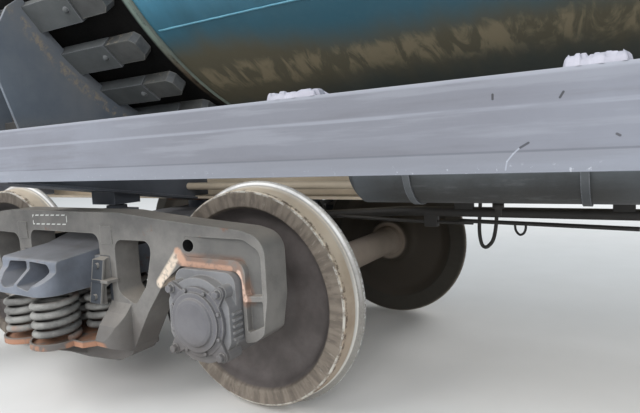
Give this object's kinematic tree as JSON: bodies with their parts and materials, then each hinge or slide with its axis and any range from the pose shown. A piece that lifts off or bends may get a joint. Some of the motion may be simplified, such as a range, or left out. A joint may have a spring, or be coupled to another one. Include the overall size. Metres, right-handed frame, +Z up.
{
  "type": "four-axle railway tank car",
  "caption": "Railway tank car: a round tank on saddles and an underframe, with two sprung bogies, four wheelsets, couplers, manhole, walkways and ladders.",
  "frame": {"origin": "centre of the car in plan, level with the tips of the wheel flanges", "axes": "+X along the car, +Y across it, +Z up; the picture's side is -Y, near the bogie at -X"},
  "size_m": [12.2322, 3.13, 4.833],
  "materials": {
    "tank_paint": "faded blue-green paint under dust",
    "frame_paint": "flat lavender-grey primer",
    "bogie_cast": "grey-olive paint on rough castings, chipped to rust",
    "wheel_steel": "worn and dusty steel, bright on the tread",
    "spring_paint": "light grey paint, rusty at the ends",
    "timber": "painted and weathered timber",
    "gear_paint": "dark grey paint with rust",
    "deck_paint": "grey paint with dirt"
  },
  "bodies": {
    "car": {"tank_shell": "tank_paint", "tank_crown": "tank_paint", "tank_pads": "tank_paint", "manhole_neck": "tank_paint", "safety_valves": "tank_paint", "saddle_webs": "frame_paint", "spine": "frame_paint", "side_sills": "frame_paint", "end_beams": "frame_paint", "bolster_beams": "frame_paint", "cross_members": "frame_paint", "bar_troughs": "frame_paint", "tank_straps": "frame_paint", "centre_plates": "bogie_cast", "yokes": "bogie_cast", "hinge_pin": "wheel_steel", "tank_bars": "timber", "air_reservoir": "gear_paint", "drum_bands": "gear_paint", "brake_cylinder": "gear_paint", "brake_rods": "gear_paint", "brake_pipe": "gear_paint", "drain_valve": "gear_paint", "release_levers": "gear_paint", "hand_brake": "gear_paint", "walkways": "deck_paint", "hand_rails": "deck_paint", "ladders": "deck_paint"},
    "bogie_a": {"side_frames_a": "bogie_cast", "bolster_a": "bogie_cast", "springs_a": "spring_paint", "wedges_a": "bogie_cast", "axle_boxes_a": "bogie_cast", "box_covers_a": "bogie_cast", "brake_gear_a": "gear_paint"},
    "bogie_b": {"side_frames_b": "bogie_cast", "bolster_b": "bogie_cast", "springs_b": "spring_paint", "wedges_b": "bogie_cast", "axle_boxes_b": "bogie_cast", "box_covers_b": "bogie_cast", "brake_gear_b": "gear_paint"},
    "coupler_a": {"coupler_a": "bogie_cast"},
    "coupler_b": {"coupler_b": "bogie_cast"},
    "manhole_lid": {"manhole_lid": "tank_paint"},
    "wheelset_1": {"wheelset_1": "wheel_steel"},
    "wheelset_2": {"wheelset_2": "wheel_steel"},
    "wheelset_3": {"wheelset_3": "wheel_steel"},
    "wheelset_4": {"wheelset_4": "wheel_steel"}
  },
  "joints": [
    {"name": "bogie_a_swivel", "type": "hinge", "parent": "car", "child": "bogie_a", "pos_m": [-3.9, 0, 0.834], "axis": [0, 0, 1], "range_deg": [-4, 4]},
    {"name": "bogie_b_swivel", "type": "hinge", "parent": "car", "child": "bogie_b", "pos_m": [3.9, 0, 0.834], "axis": [0, 0, 1], "range_deg": [-4, 4]},
    {"name": "wheelset_1_roll", "type": "hinge", "parent": "bogie_a", "child": "wheelset_1", "pos_m": [-4.825, 0, 0.5065], "axis": [0, 1, 0], "continuous": true},
    {"name": "wheelset_2_roll", "type": "hinge", "parent": "bogie_a", "child": "wheelset_2", "pos_m": [-2.975, 0, 0.5065], "axis": [0, 1, 0], "continuous": true},
    {"name": "wheelset_3_roll", "type": "hinge", "parent": "bogie_b", "child": "wheelset_3", "pos_m": [2.975, 0, 0.5065], "axis": [0, 1, 0], "continuous": true},
    {"name": "wheelset_4_roll", "type": "hinge", "parent": "bogie_b", "child": "wheelset_4", "pos_m": [4.825, 0, 0.5065], "axis": [0, 1, 0], "continuous": true},
    {"name": "coupler_a_swing", "type": "hinge", "parent": "car", "child": "coupler_a", "pos_m": [-4.9, 0, 1.068], "axis": [0, 0, 1], "range_deg": [-6, 6]},
    {"name": "coupler_b_swing", "type": "hinge", "parent": "car", "child": "coupler_b", "pos_m": [4.9, 0, 1.068], "axis": [0, 0, 1], "range_deg": [-6, 6]},
    {"name": "manhole_lid_open", "type": "hinge", "parent": "car", "child": "manhole_lid", "pos_m": [0, 0.392, 4.498], "axis": [-1, 0, 0], "range_deg": [0, 110]}
  ]
}
